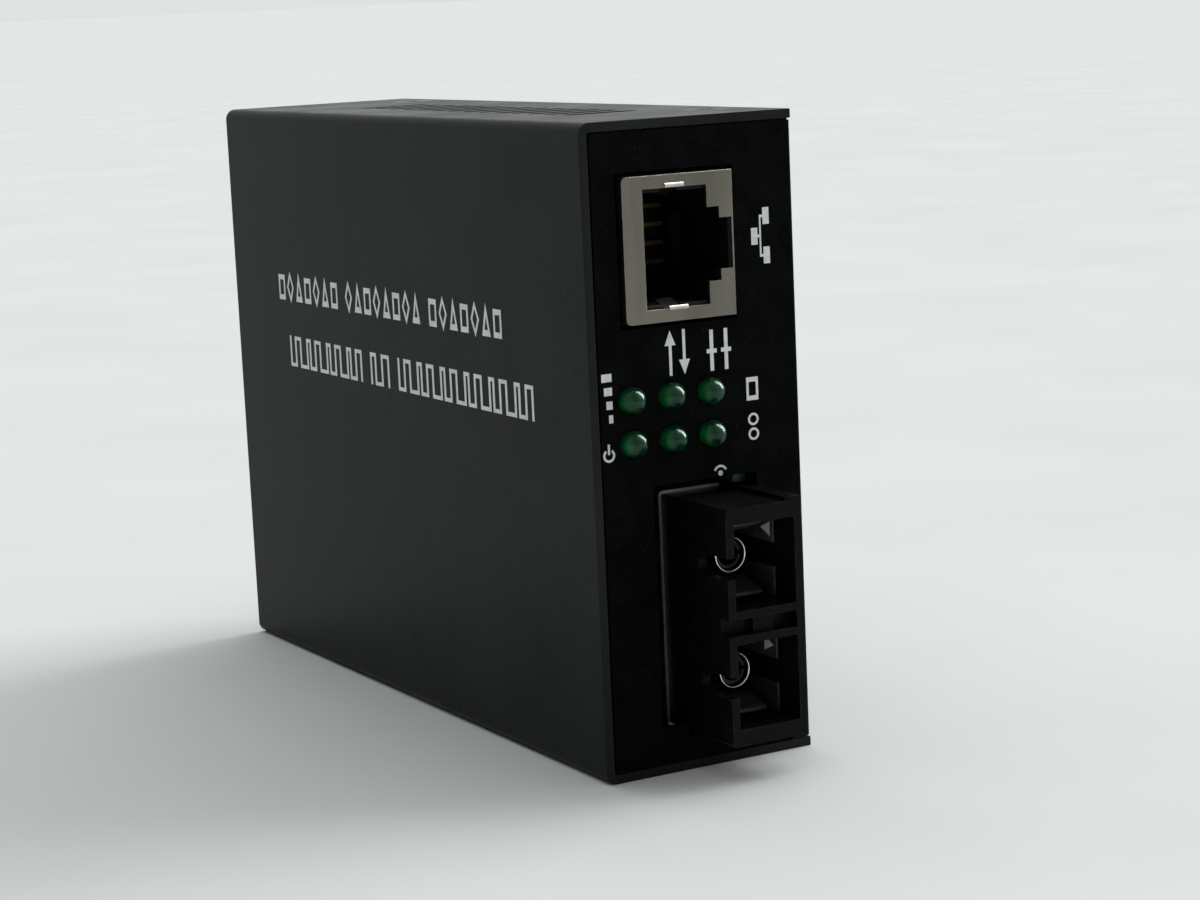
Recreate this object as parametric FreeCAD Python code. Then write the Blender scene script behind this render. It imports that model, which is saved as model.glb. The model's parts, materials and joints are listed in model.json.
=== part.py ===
import FreeCAD, Part
import math
import os

# Fibre media converter: one RJ45 copper port and one duplex SC fibre port in a small case of
# folded steel, which stands on one of its narrow sides.
# X runs from the cover face to the base plate, Y from the front panel to the rear, Z up, in
# millimetres. The origin lies on the surface that the case stands on, under the middle of the
# bounding box. The circuit board is parallel to the cover face: "above the board" is towards -X.

V = FreeCAD.Vector
ALONG_X, ALONG_Y, ALONG_Z = V(1, 0, 0), V(0, 1, 0), V(0, 0, 1)

past = 1.0                    # a cutting tool's reach beyond the surface that it cuts
thread_sides = 8              # flats of a thread, a peg and its hole
small_sides = 16              # flats of a small turned piece
head_sides = 24               # flats of a countersunk head and its seat

# Case
case_width = 26.0             # X, cover face to base plate
case_depth = 94.0             # Y, front panel to rear panel
case_height = 70.0            # Z
sheet = 1.0                   # steel of the cover and the tray
bend = 0.3                    # inside radius of their bends
tray_corner = 0.5             # outside radius between base plate and panels
fold_gap = 0.2                # between the cover and the tray inside it

# Vent slots in both narrow sides of the cover
vent_length = 9.0             # along X
vent_width = 2.0
vent_pitch = 4.0
vent_start = 18.5             # front panel to the first slot's middle
vent_end = 20.0               # rear panel to the row's end, at least
vent_from_cover = 13.2        # cover face to the slots' middle
vent_corner = 0.6             # cut off the corners at the slots' ends

# Screws through the narrow sides of the cover into the tray's tabs
case_screw = 3.0              # thread
case_screw_head = 5.2
case_screw_length = 5.0
case_screw_from_end = 10.7    # front or rear face to the screw
case_screw_from_base = 4.0    # outside of the base plate to the screw
screw_play = 0.05             # round a thread in its hole
recess_width = 0.7            # one arm of the cross recess
recess_span = 2.6
recess_depth = 0.9
tab_length = 9.0              # of the tray's tabs, along Y
tab_height = 7.2              # above the base plate's outside
tab_relief = 0.8              # slit beside each tab

# Circuit board and what holds it
board = 1.6
board_height = 5.2            # inside of the base plate to the board
board_gap_ends = 0.8          # board to the front and rear panels
board_gap_sides = 0.4         # board to the tray's tabs
board_notch = 4.6             # Y, front corner left open for the fibre receptacle
standoff = 5.0                # across the flats
standoff_head = 6.4           # across the flats of the head pressed into the base plate
standoff_front = 38.0         # front face to the front pair
standoff_rear = 76.0          # front face to the rear pair
standoff_from_side = 6.5      # narrow side to the standoffs
board_screw = 3.0
board_screw_head = 5.4
board_screw_head_height = 1.9
board_screw_length = 5.0      # under the head
board_hole_play = 0.2         # round a screw in the board
pin_play = 0.1                # round a pin in the board
tail = 1.2                    # of a pin, past the board

# RJ45 jack
jack_from_top = 13.55         # upper narrow side to the jack's middle
jack_width = 15.4             # Z
jack_height = 13.5            # X
jack_depth = 16.0             # Y
jack_proud = 0.6              # in front of the panel
jack_above_board = 0.25
jack_window_gap = 0.45        # round the jack in the panel
shield_sheet = 0.3
opening_width = 12.6          # Z, in the shield's face
opening_height = 7.8          # X
opening_below_top = 2.5       # shield's top to the opening
latch_width = 7.8             # Z, wide step of the latch slot
latch_height = 1.5            # X
finger_width = 5.4            # Z, narrow step of the latch slot
finger_height = 1.5           # X
plug_width = 11.8             # Z, of the housing's bore
plug_depth = 13.0             # Y
lip_width = 2.0               # X, of the two earthing lips
lip_length = 2.4
lip_raised = 0.6              # above the middle of the opening
lip_slope = 20.0              # degrees, into the opening
contact_count = 8
contact_pitch = 1.02
contact_wire = 0.45
contact_slope = 22.0          # degrees
contact_length = 8.0
contact_start = 2.2           # shield's face to the wires' front ends
contact_roof = 1.0            # shield's top to the wires' channels
contact_back = 1.5            # jack's rear end to the rear row of tails
contact_row_step = 2.54       # between the two rows of tails
comb_back = 4.5               # jack's rear end to the comb's wall
comb_side = 1.0               # comb's opening inside the bore, each side
finger_depth = 10.0           # shield's face to the end of the latch slot's narrow step
jack_post = 3.0
jack_post_pitch = 11.4
jack_post_back = 9.0          # shield's face to the posts
jack_post_root = 0.5          # of a post or foot, inside the housing
jack_foot_back = 5.0          # jack's rear end to its two feet
jack_foot_depth = 1.0         # Y
jack_foot_width = 2.0         # Z
leg_width = 2.0               # Y, of the shield's two legs
leg_back = 6.4                # shield's face to the legs

# Light-emitting diodes, two columns of three in one holder
led = 3.0
led_columns = 2
led_rows = 3
led_column_pitch = 4.6        # Z
led_place = 0.41              # columns' middle, as a share of the panel between both windows
led_first_share = 0.2035      # board to the lowest row, as a share of the room over the board
led_row_share = 0.283         # from row to row, as a share of the same room
led_dome_steps = (0, 33, 65)  # degrees from the rim, of the dome's rings
led_proud = 1.8               # dome in front of the panel
led_hole_gap = 0.15           # round a dome in the panel
led_length = 5.2              # dome and body
led_flange = 3.8
led_flange_length = 1.0
led_holder_wall = 0.35        # holder beyond the outer flanges
led_holder_back = 1.0         # holder behind the flanges
led_holder_edge = 0.5         # rounding
led_lead = 0.5
led_lead_pitch = 2.54         # Z
led_lead_step = 2.2           # Y, from the leads of one row to the next
led_play = 0.05               # round an LED in its holder

# Duplex SC transceiver: the receptacle
sc_middle = 16.95             # Z
sc_reach = 8.7                # in front of the panel
sc_width = 25.4               # Z
sc_height = 9.4               # X
sc_axis_above_board = 3.0
sc_length = 30.8              # behind the panel's outside
sc_edge = 0.3                 # rounding of the long edges
sc_window_above = 3.4         # panel's window, over the receptacle
sc_window_end = 1.8           # window, past the receptacle's upper end
sc_window_step = 0.8          # window's lower end, higher over the receptacle
sc_fit = 0.2                  # receptacle in its window
sc_rail_width = 1.8           # X, of the raised rails at both ends
sc_rail_height = 0.4          # Z
port_pitch = 12.7
port_width = 9.2              # Z
port_height = 7.55            # X
port_depth = 13.3             # Y, front face to the latch piece's back
keyway_width = 2.35
keyway_length = 5.7           # front face to its round end
groove_width = 1.8            # between the ports
groove_depth = 1.6
groove_rib = 2.5              # X, of the rib in the groove
groove_rib_step = 0.8         # groove's mouth to the rib
groove_rib_root = 0.2         # of the rib, below the groove's floor
module_wall = 1.0             # of the body behind the ports

# Latch piece, barrel and sleeve in each port
latch_play = 0.05             # latch piece in its port
latch_base = 1.6              # Y
hook_width = 4.0              # X
hook_behind_face = 3.8        # front face to the hooks' noses
hook_inner = 3.2              # axis to a hook's inner side
hook_thick = 0.8
hook_tip = 0.4                # Z, end face of the nose
hook_catch = 0.7              # catch, inwards
hook_flare = 0.5              # nose, outwards
hook_nose = 3.2               # Y, slope of the nose
hook_head = 3.8               # Y, nose and catch together
guide_behind_face = 3.7       # front face to the two guide plates beside the hooks
guide_thick = 0.3
guide_gap = 2.6               # Z, between the plates
barrel = 4.0                  # outside diameter
barrel_bore = 3.3
barrel_behind_face = 6.7      # front face to the barrel
barrel_flange = 6.6
barrel_flange_length = 1.2
sleeve = 3.2
ferrule = 2.5                 # sleeve's bore
sleeve_behind_barrel = 0.6
sleeve_slit = 0.4
sleeve_length = 6.8

# Transceiver behind the ports
can = 5.2
can_length = 3.6
can_header = 5.8
can_header_length = 1.0
can_lead = 0.5
can_lead_pitch = 2.0
can_lead_length = 3.6
can_lead_root = 0.2           # inside the header
module_board = 1.0
module_board_front = 14.4     # panel's outside to the inner board
module_board_play = 0.1       # in the body, each side
module_pin = 0.6
module_pin_pitch = 2.54
module_pin_count = 9
module_pin_from_rear = 2.6    # body's rear end to the pins
module_post = 1.5
module_post_inset = 2.54      # body's ends to the posts
module_post_front = 9.0       # panel's outside to the posts
module_post_tail = 0.6        # past the board
module_foot = 1.0             # height of the feet that carry the posts
module_foot_reach = 3.3       # Z
module_foot_depth = 2.0       # Y
module_shield = 0.3
module_shield_front = 4.2     # panel's outside to the shield
module_shield_foot = 0.3      # shield to the board

# Pieces on the board: depth is Y, width is Z, height is over the board
transformer_front = 20.5
transformer_depth = 9.4
transformer_width = 12.8
transformer_height = 5.9
transformer_edge = 0.6
chip_front = 38.0
chip_below_middle = 2.0       # Z, case's middle to the chip's
chip_side = 14.0
chip_height = 1.4
chip_bevel = 0.25
chip_foot = 0.1
chip_leads = 8                # on each side
chip_lead_pitch = 1.27
chip_lead_width = 0.4
chip_lead_reach = 1.0
chip_lead_thick = 0.2
crystal_front = 58.6
crystal_width = 11.0          # middle as the chip's
crystal_depth = 4.6
crystal_height = 3.5
crystal_rim = 0.5             # wider than the can, and as thick
crystal_corner = 1.6          # cut off its corners
regulator_front = 66.0
regulator_middle = 20.0
regulator_depth = 6.0
regulator_width = 6.6
regulator_height = 2.3
regulator_tab = 1.2           # Y, beyond the body
regulator_tab_root = 1.0      # Y, inside the body
regulator_tab_width = 5.3
regulator_tab_height = 0.5
inductor_front = 66.0
inductor_above_middle = 3.0   # Z, case's middle to the inductor's
inductor_across = 8.0
inductor_height = 5.0
inductor_flange = 1.0
inductor_neck = 1.4
big_capacitor = 8.0
big_capacitor_height = 11.5
big_capacitor_front = 62.0
big_capacitor_from_top = 17.0
small_capacitor = 6.3
small_capacitor_height = 7.7
small_capacitor_front = 36.0
small_capacitor_from_top = 14.0
capacitor_bead = 0.35         # depth of the rolled groove
capacitor_base = 1.2          # board to the groove
resistor_length = 2.0
resistor_width = 1.25
resistor_height = 0.6
resistor_pitch = 3.0
resistors_in_row = 7
resistor_rows = (35.0, 54.6)  # front face to each row
resistor_first = 12.0         # Z of the first one

# Power inlet at the rear
inlet_from_top = 16.0         # upper narrow side to the inlet's middle
inlet_width = 9.0             # Z
inlet_height = 11.0           # X
inlet_depth = 14.2            # Y
inlet_collar = 3.4            # Y, of the square front
inlet_neck = 1.0              # height lost behind the collar
inlet_axis = 6.5              # board to the axis
inlet_bore = 6.3
inlet_bore_depth = 9.6
inlet_hole = 7.8              # in the rear panel
inlet_pin = 2.0
inlet_pin_back = 0.9          # inlet's face to the pin's tip
inlet_pin_bevel = 0.4
inlet_edge = 0.4              # rounding
inlet_blade = 0.6
inlet_blade_width = 2.6
inlet_blade_back = 1.2        # inlet's rear end to the first blade
inlet_blade_step = 3.0        # between the blades, Y and Z

# Planes
cover_face = -case_width / 2
base_face = case_width / 2
front = (sc_reach - case_depth) / 2
rear = front + case_depth
panel_back = front + sheet
tray_side = sheet + fold_gap
tray_lip = cover_face + sheet + fold_gap
board_top = base_face - sheet - board_height - board
board_under = board_top + board
board_front = panel_back + board_gap_ends
board_rear = rear - sheet - board_gap_ends
board_side = tray_side + sheet + board_gap_sides
case_screw_x = base_face - case_screw_from_base
room = board_top - cover_face - sheet
jack_middle = case_height - jack_from_top
inlet_middle = case_height - inlet_from_top
chip_middle = case_height / 2 - chip_below_middle
sc_window_top = sc_middle + sc_width / 2 + sc_window_end
led_middle = sc_window_top + led_place * (jack_middle - jack_width / 2 - sc_window_top)
led_first = led_first_share * room
led_row_pitch = led_row_share * room
sc_axis = board_top - sc_axis_above_board
sc_face = front - sc_reach
port_axes = (sc_middle + port_pitch / 2, sc_middle - port_pitch / 2)
latch_back = sc_face + port_depth
shield_face = front - jack_proud
jack_base = board_top - jack_above_board
jack_top = jack_base - jack_height
jack_back = shield_face + jack_depth
opening_top = jack_top + opening_below_top
opening_base = opening_top + opening_height
lip_top = opening_top + (opening_height - lip_width) / 2 - lip_raised
wire_top = jack_top + contact_roof
inlet_face = rear - sheet
inlet_axis_x = board_top - inlet_axis


def block(x0, x1, y0, y1, z0, z1):
    """Box between two opposite corners."""
    return Part.makeBox(x1 - x0, y1 - y0, z1 - z0, V(x0, y0, z0))


def rod(diameter, start, along, length):
    """Round bar from a point."""
    return Part.makeCylinder(diameter / 2, length, start, along)


def prism(corners, along):
    """Flat outline pushed along a vector."""
    return Part.Face(Part.makePolygon(corners + corners[:1])).extrude(along)


def turned(profile, start, along, sides):
    """Body of rings with a few flats each: distance from the start and radius of every ring."""
    first = ALONG_Y if abs(along.y) < 0.5 else ALONG_Z
    second = along.cross(first)
    angles = [2 * math.pi * (i + 0.5) / sides for i in range(sides)]
    spokes = [first * math.cos(a) + second * math.sin(a) for a in angles]
    rings = [[start + along * distance + spoke * radius for spoke in spokes] for distance, radius in profile]
    faces = [Part.Face(Part.makePolygon(ring + ring[:1])) for ring in (rings[0], rings[-1])]
    for near, far in zip(rings, rings[1:]):
        for i in range(sides):
            j = (i + 1) % sides
            faces.append(Part.Face(Part.makePolygon([near[i], near[j], far[j], far[i], near[i]])))
    return Part.Solid(Part.Shell(faces))


def peg(diameter, start, along, length, sides=thread_sides):
    """Straight bar with a few flats, as wide over its corners as a round one."""
    return turned([(0, diameter / 2), (length, diameter / 2)], start, along, sides)


def runs_along(edge, axis):
    """True for a straight edge parallel to an axis."""
    if not isinstance(edge.Curve, Part.Line):
        return False
    return abs(abs(edge.tangentAt(edge.FirstParameter).dot(axis)) - 1) < 1e-6


def round_edges(solid, radius, axis, keep):
    """Fillet the edges along an axis whose middle point passes a test."""
    edges = [e for e in solid.Edges if runs_along(e, axis) and keep(e.CenterOfMass)]
    return solid.makeFillet(radius, edges)


def cut_all(solid, tools):
    """Take a list of tools out of a solid in one operation."""
    return solid.cut(Part.makeCompound(tools))


def join(solids):
    """Fuse overlapping or touching solids into one and drop the seams."""
    return solids[0].fuse(solids[1:]).removeSplitter()


def slot(middle, length, width, corner, along, through):
    """Tool for a long opening with cut corners: its length lies along one axis, its cut along another."""
    across = along.cross(through).normalize()
    a, b = length / 2, width / 2
    outline = ((a - corner, b), (a, b - corner), (a, corner - b), (a - corner, -b),
               (corner - a, -b), (-a, corner - b), (-a, b - corner), (corner - a, b))
    return prism([middle + along * u + across * v for u, v in outline], through)


def narrow_sides():
    """Outer plane and inward direction of the cover's two narrow sides."""
    return ((0.0, 1), (case_height, -1))


def case_screw_spots():
    """Outer point and inward direction of the four case screws."""
    spots = []
    for z, inward in narrow_sides():
        for y in (front + case_screw_from_end, rear - case_screw_from_end):
            spots.append((V(case_screw_x, y, z), ALONG_Z * inward))
    return spots


def standoff_spots():
    """Y and Z of the four board standoffs."""
    ys = (front + standoff_front, front + standoff_rear)
    zs = (standoff_from_side, case_height - standoff_from_side)
    return [(y, z) for y in ys for z in zs]


def led_spots():
    """Row number and axis point in the front plane of every LED, top row first."""
    spots = []
    for row in reversed(range(led_rows)):
        for column in reversed(range(led_columns)):
            z = led_middle + (column - (led_columns - 1) / 2) * led_column_pitch
            spots.append((row, V(board_top - led_first - row * led_row_pitch, front, z)))
    return spots


def countersink(point, inward, deep):
    """Cone of a countersunk head, from its rim to the thread's diameter."""
    return turned([(0, case_screw_head / 2), (deep, case_screw / 2)], point, inward, head_sides)


def make_cover():
    outer = block(cover_face, base_face, front, rear, 0, case_height)
    outer = round_edges(outer, bend + sheet, ALONG_Y, lambda p: p.x < 0)
    inner = block(cover_face + sheet, base_face + past, front - past, rear + past,
                  sheet, case_height - sheet)
    inner = round_edges(inner, bend, ALONG_Y, lambda p: p.x < 0)
    tools = [inner]
    count = int((case_depth - vent_start - vent_end) / vent_pitch) + 1
    for z, inward in narrow_sides():
        for i in range(count):
            middle = V(cover_face + vent_from_cover, front + vent_start + i * vent_pitch, z)
            through = ALONG_Z * (inward * sheet)
            tools.append(slot(middle, vent_length, vent_width, vent_corner, ALONG_X, through))
    for point, inward in case_screw_spots():
        tools.append(countersink(point, inward, sheet))
    return cut_all(outer, tools)


def make_tab(y, edge, inward):
    """Tab bent up from the base plate's long edge, with its bend."""
    radius = sheet + bend
    middle = V(base_face - radius, y - tab_length / 2, edge + inward * radius)
    towards_edge = ALONG_Z * -inward
    slant = (ALONG_X + towards_edge).normalize()
    tip = ALONG_X * (radius - tab_height)
    outer = [middle + direction * radius for direction in (towards_edge, slant, ALONG_X)]
    inner = [middle + direction * bend for direction in (ALONG_X, slant, towards_edge)]
    outline = Part.Wire([
        Part.Arc(*outer).toShape(),
        Part.makeLine(outer[2], inner[0]),
        Part.Arc(*inner).toShape(),
        Part.makeLine(inner[2], inner[2] + tip),
        Part.makeLine(inner[2] + tip, outer[0] + tip),
        Part.makeLine(outer[0] + tip, outer[0]),
    ])
    return Part.Face(outline).extrude(ALONG_Y * tab_length)


def sc_window():
    """Tool for the receptacle's window in the front panel."""
    over = sc_axis - sc_height / 2
    low = sc_middle - sc_width / 2
    top = sc_window_top
    fit_low = low - sc_rail_height - sc_fit
    right = over + sc_height + sc_fit
    corners = [(over - sc_window_above, top), (right, top), (right, fit_low), (over - sc_fit, fit_low),
               (over - sc_fit, low + sc_window_step), (over - sc_window_above, low + sc_window_step)]
    return prism([V(x, front - past, z) for x, z in corners], ALONG_Y * (2 * past + sheet))


def make_tray():
    z0, z1 = tray_side, case_height - tray_side
    outer = block(tray_lip, base_face, front, rear, z0, z1)
    outer = round_edges(outer, tray_corner, ALONG_Z, lambda p: p.x > 0)
    inner = block(tray_lip - past, base_face - sheet, panel_back, rear - sheet, z0 - past, z1 + past)
    inner = round_edges(inner, bend, ALONG_Z, lambda p: p.x > 0)
    body = outer.cut(inner)

    slits, tabs = [], []
    for edge, inward in ((z0, 1), (z1, -1)):
        a, b = sorted((edge - inward * sheet, edge + inward * (sheet + bend)))
        for y in (front + case_screw_from_end, rear - case_screw_from_end):
            reach = tab_length / 2 + tab_relief
            slits.append(block(base_face - sheet - bend, base_face + past, y - reach, y + reach, a, b))
            tabs.append(make_tab(y, edge, inward))
    body = join([cut_all(body, slits)] + tabs)

    tools = [sc_window()]
    gap = jack_window_gap
    tools.append(block(jack_top - gap, jack_base + gap, front - past, panel_back + past,
                       jack_middle - jack_width / 2 - gap, jack_middle + jack_width / 2 + gap))
    through = sheet + 2 * past
    for _, point in led_spots():
        tools.append(peg(led + 2 * led_hole_gap, point - ALONG_Y * past, ALONG_Y, through, small_sides))
    tools.append(rod(inlet_hole, V(inlet_axis_x, inlet_face - past, inlet_middle), ALONG_Y, through))
    for point, inward in case_screw_spots():
        tools.append(peg(case_screw + 2 * screw_play, point, inward, tray_side + sheet + past))
    for y, z in standoff_spots():
        tools.append(hexagon(standoff_head, y, z, through, base_face + past))
    return cut_all(body, tools)


def hexagon(across, y, z, length, end):
    """Hexagonal bar along X that ends at a plane."""
    return peg(across * 2 / math.sqrt(3), V(end, y, z), -ALONG_X, length, 6)


def make_cover_screws():
    """Four countersunk screws with a cross recess."""
    screws = []
    for point, inward in case_screw_spots():
        head = countersink(point, inward, sheet)
        shank = peg(case_screw, point + inward * sheet, inward, case_screw_length - sheet)
        screw = join([head, shank])
        arm = recess_span / 2
        half = recess_width / 2
        z0, z1 = sorted((point.z - inward.z * past, point.z + inward.z * recess_depth))
        cross = [block(point.x - arm, point.x + arm, point.y - half, point.y + half, z0, z1),
                 block(point.x - half, point.x + half, point.y - arm, point.y + arm, z0, z1)]
        screws.append(screw.cut(join(cross)))
    return Part.makeCompound(screws)


def make_standoffs():
    """Four standoffs whose hexagonal heads lie flush in the base plate."""
    posts = []
    for y, z in standoff_spots():
        post = join([hexagon(standoff_head, y, z, sheet, base_face),
                     hexagon(standoff, y, z, board_height, base_face - sheet)])
        bore = peg(board_screw + 2 * screw_play, V(board_under - past, y, z), ALONG_X, board_height + past)
        posts.append(post.cut(bore))
    return Part.makeCompound(posts)


def make_board_screws():
    """Four pan-headed screws that hold the board on its standoffs."""
    screws = []
    radius = board_screw_head / 2
    profile = [(0, radius), (board_screw_head_height / 2, radius),
               (board_screw_head_height, radius - board_screw_head_height / 2)]
    for y, z in standoff_spots():
        seat = V(board_top, y, z)
        head = turned(profile, seat, -ALONG_X, small_sides)
        screws.append(join([head, peg(board_screw, seat, ALONG_X, board_screw_length)]))
    return Part.makeCompound(screws)


def square_pin(x0, x1, y, z, size):
    """Square pin along X."""
    half = size / 2
    return block(x0, x1, y - half, y + half, z - half, z + half)


def contact_spots():
    """Y and Z where the jack's eight contacts pass through the board, in two rows."""
    spots = []
    for i in range(contact_count):
        z = jack_middle + (i - (contact_count - 1) / 2) * contact_pitch
        y = jack_back - contact_back - (i % 2) * contact_row_step
        spots.append((y, z))
    return spots


def led_lead_spots():
    """Row point, Y and Z where every LED lead passes through the board."""
    spots = []
    for row, point in led_spots():
        y = panel_back + led_length + led_lead_step * (row + 1)
        for side in (-0.5, 0.5):
            spots.append((point, y, point.z + side * led_lead_pitch))
    return spots


def module_pin_spots():
    """Y and Z of the transceiver's pins."""
    y = front + sc_length - module_pin_from_rear
    return [(y, sc_middle + (i - (module_pin_count - 1) / 2) * module_pin_pitch)
            for i in range(module_pin_count)]


def inlet_blade_spots():
    """Y and Z of the inlet's three blades."""
    y, step = inlet_face - inlet_depth + inlet_blade_back, inlet_blade_step
    return [(y, inlet_middle), (y + 2 * step, inlet_middle), (y + step, inlet_middle + step)]


def module_post_spots():
    """Y and Z of the transceiver's two posts."""
    reach = sc_width / 2 - module_post_inset
    return [(front + module_post_front, sc_middle + side * reach) for side in (-1, 1)]


def jack_post_spots():
    """Y and Z of the jack's two posts."""
    return [(shield_face + jack_post_back, jack_middle + side * jack_post_pitch / 2) for side in (-1, 1)]


def shield_leg_spots():
    """Y and Z of the middle of the shield's two legs."""
    reach = (jack_width - shield_sheet) / 2
    return [(shield_face + leg_back, jack_middle + side * reach) for side in (-1, 1)]


def blade(x0, x1, y, z, depth, width):
    """Flat pin along X, from its thickness along Y and its width along Z."""
    return block(x0, x1, y - depth / 2, y + depth / 2, z - width / 2, z + width / 2)


def make_board():
    """Circuit board with every hole that something passes through."""
    x0, x1 = board_top - past, board_under + past
    plate = block(board_top, board_under, board_front, board_rear, board_side, case_height - board_side)
    notch_end = sc_middle + sc_width / 2 + sc_rail_height + sc_fit
    tools = [block(x0, x1, board_front - past, board_front + board_notch, 0, notch_end)]
    for spots, size in ((standoff_spots(), board_screw + 2 * board_hole_play),
                        (module_post_spots(), module_post + 2 * pin_play),
                        (jack_post_spots(), jack_post + 2 * pin_play)):
        for y, z in spots:
            tools.append(peg(size, V(x0, y, z), ALONG_X, x1 - x0))
    for _, y, z in led_lead_spots():
        tools.append(square_pin(x0, x1, y, z, led_lead + 2 * pin_play))
    for y, z in contact_spots():
        tools.append(square_pin(x0, x1, y, z, contact_wire + 2 * pin_play))
    for y, z in module_pin_spots():
        tools.append(square_pin(x0, x1, y, z, module_pin + 2 * pin_play))
    for y, z in shield_leg_spots():
        tools.append(blade(x0, x1, y, z, leg_width + 2 * pin_play, shield_sheet + 2 * pin_play))
    for y, z in inlet_blade_spots():
        tools.append(blade(x0, x1, y, z, inlet_blade + 2 * pin_play, inlet_blade_width + 2 * pin_play))
    return cut_all(plate, tools)


def jack_opening():
    """Outline of the plug opening with its stepped latch slot, in X and Z."""
    base = opening_base
    wide, fine = base + latch_height, base + latch_height + finger_height
    half = []
    for x, width in ((opening_top, opening_width), (base, opening_width), (base, latch_width),
                     (wide, latch_width), (wide, finger_width), (fine, finger_width)):
        half.append((x, width / 2))
    return half + [(x, -z) for x, z in reversed(half)]


def make_rj45_shield():
    """Folded shell with the stepped opening, two earthing lips and two legs."""
    z0, z1 = jack_middle - jack_width / 2, jack_middle + jack_width / 2
    outer = block(jack_top, jack_base, shield_face, jack_back, z0, z1)
    outer = round_edges(outer, shield_sheet * 2, ALONG_Y, lambda p: p.x < jack_base - shield_sheet)
    inner = block(jack_top + shield_sheet, jack_base + past, shield_face + shield_sheet, jack_back + past,
                  z0 + shield_sheet, z1 - shield_sheet)
    corners = [V(x, shield_face - past, jack_middle + z) for x, z in jack_opening()]
    shell = cut_all(outer, [inner, prism(corners, ALONG_Y * (2 * past))])

    extras = []
    for side in (-1, 1):
        edge = jack_middle + side * opening_width / 2
        tilt = math.tan(math.radians(lip_slope)) * lip_length
        y0 = shield_face
        lip = prism([V(lip_top, y0, edge), V(lip_top, y0 + lip_length, edge - side * tilt),
                     V(lip_top, y0 + lip_length, edge - side * (tilt - shield_sheet)),
                     V(lip_top, y0 + shield_sheet, edge + side * shield_sheet),
                     V(lip_top, y0, edge + side * shield_sheet)], ALONG_X * lip_width)
        extras.append(lip)
    for y, z in shield_leg_spots():
        extras.append(blade(jack_base - shield_sheet, board_under + tail, y, z, leg_width, shield_sheet))
    return join([shell] + extras)


def make_rj45_housing():
    """Moulded insert of the jack: plug bore, latch slot, comb for the wires and two posts."""
    play = screw_play
    z0 = jack_middle - jack_width / 2 + shield_sheet + play
    z1 = jack_middle + jack_width / 2 - shield_sheet - play
    y0 = shield_face + shield_sheet + play
    body = block(jack_top + shield_sheet + play, jack_base, y0, jack_back, z0, z1)
    bore = block(opening_top, opening_base, y0 - past, shield_face + plug_depth,
                 jack_middle - plug_width / 2, jack_middle + plug_width / 2)
    latch = block(opening_base - past, opening_base + latch_height, y0 - past, shield_face + plug_depth,
                  jack_middle - latch_width / 2, jack_middle + latch_width / 2)
    finger = block(opening_base, opening_base + latch_height + finger_height - shield_sheet, y0 - past,
                   shield_face + finger_depth, jack_middle - finger_width / 2, jack_middle + finger_width / 2)
    comb = block(wire_top, opening_top + past, shield_face + contact_start, jack_back - comb_back,
                 jack_middle - plug_width / 2 + comb_side, jack_middle + plug_width / 2 - comb_side)
    tools = [bore, latch, finger, comb]
    for side in (-1, 1):
        z = jack_middle + side * opening_width / 2
        a, b = sorted((z - side, z + side * 2 * shield_sheet))
        tools.append(block(lip_top - play, lip_top + lip_width + play, y0 - past, y0 + lip_length, a, b))
    body = cut_all(body, tools)

    root = jack_base - jack_post_root
    posts = [peg(jack_post, V(root, y, z), ALONG_X, board_under - root) for y, z in jack_post_spots()]
    foot_y = jack_back - jack_foot_back - jack_foot_depth
    feet = [block(root, board_top, foot_y, foot_y + jack_foot_depth, a, a + jack_foot_width)
            for a in (z0, z1 - jack_foot_width)]
    channels = []
    size = contact_wire + 2 * play
    for y, z in contact_spots():
        channels.append(square_pin(wire_top, board_top + past, y, z, size))
        channels.append(block(wire_top, wire_top + size, foot_y, y, z - size / 2, z + size / 2))
    return cut_all(join([body] + posts + feet), channels)


def make_rj45_contacts():
    """Eight bent wires: tail through the board, run over the bore, slope down into it."""
    wires = []
    half = contact_wire / 2
    slope = math.radians(contact_slope)
    top = wire_top + half + screw_play
    y_end = shield_face + contact_start + contact_wire
    y_turn = y_end + contact_length * math.cos(slope)
    for y, z in contact_spots():
        run = block(top - half, top + half, y_end, y + half, z - half, z + half)
        drop = square_pin(top - half, board_under + tail, y, z, contact_wire)
        dip = math.sin(slope) * contact_length
        finger = prism([V(top - half, y_end, z - half), V(top - half, y_end + contact_wire, z - half),
                        V(top + dip, y_turn, z - half), V(top + dip, y_turn - contact_wire, z - half)],
                       ALONG_Z * contact_wire)
        wires.append(join([run, drop, finger]))
    return Part.makeCompound(wires)


def led_body_front():
    """Y of the tip of every dome."""
    return front - led_proud


def make_led(point):
    """Domed LED lens with its flange."""
    radius = led / 2
    flange = led_length - led_flange_length
    steps = [math.radians(angle) for angle in reversed(led_dome_steps)]
    profile = [(radius * (1 - math.sin(a)), radius * math.cos(a)) for a in steps]
    profile += [(flange, radius), (flange, led_flange / 2), (led_length, led_flange / 2)]
    return turned(profile, V(point.x, led_body_front(), point.z), ALONG_Y, small_sides)


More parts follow.
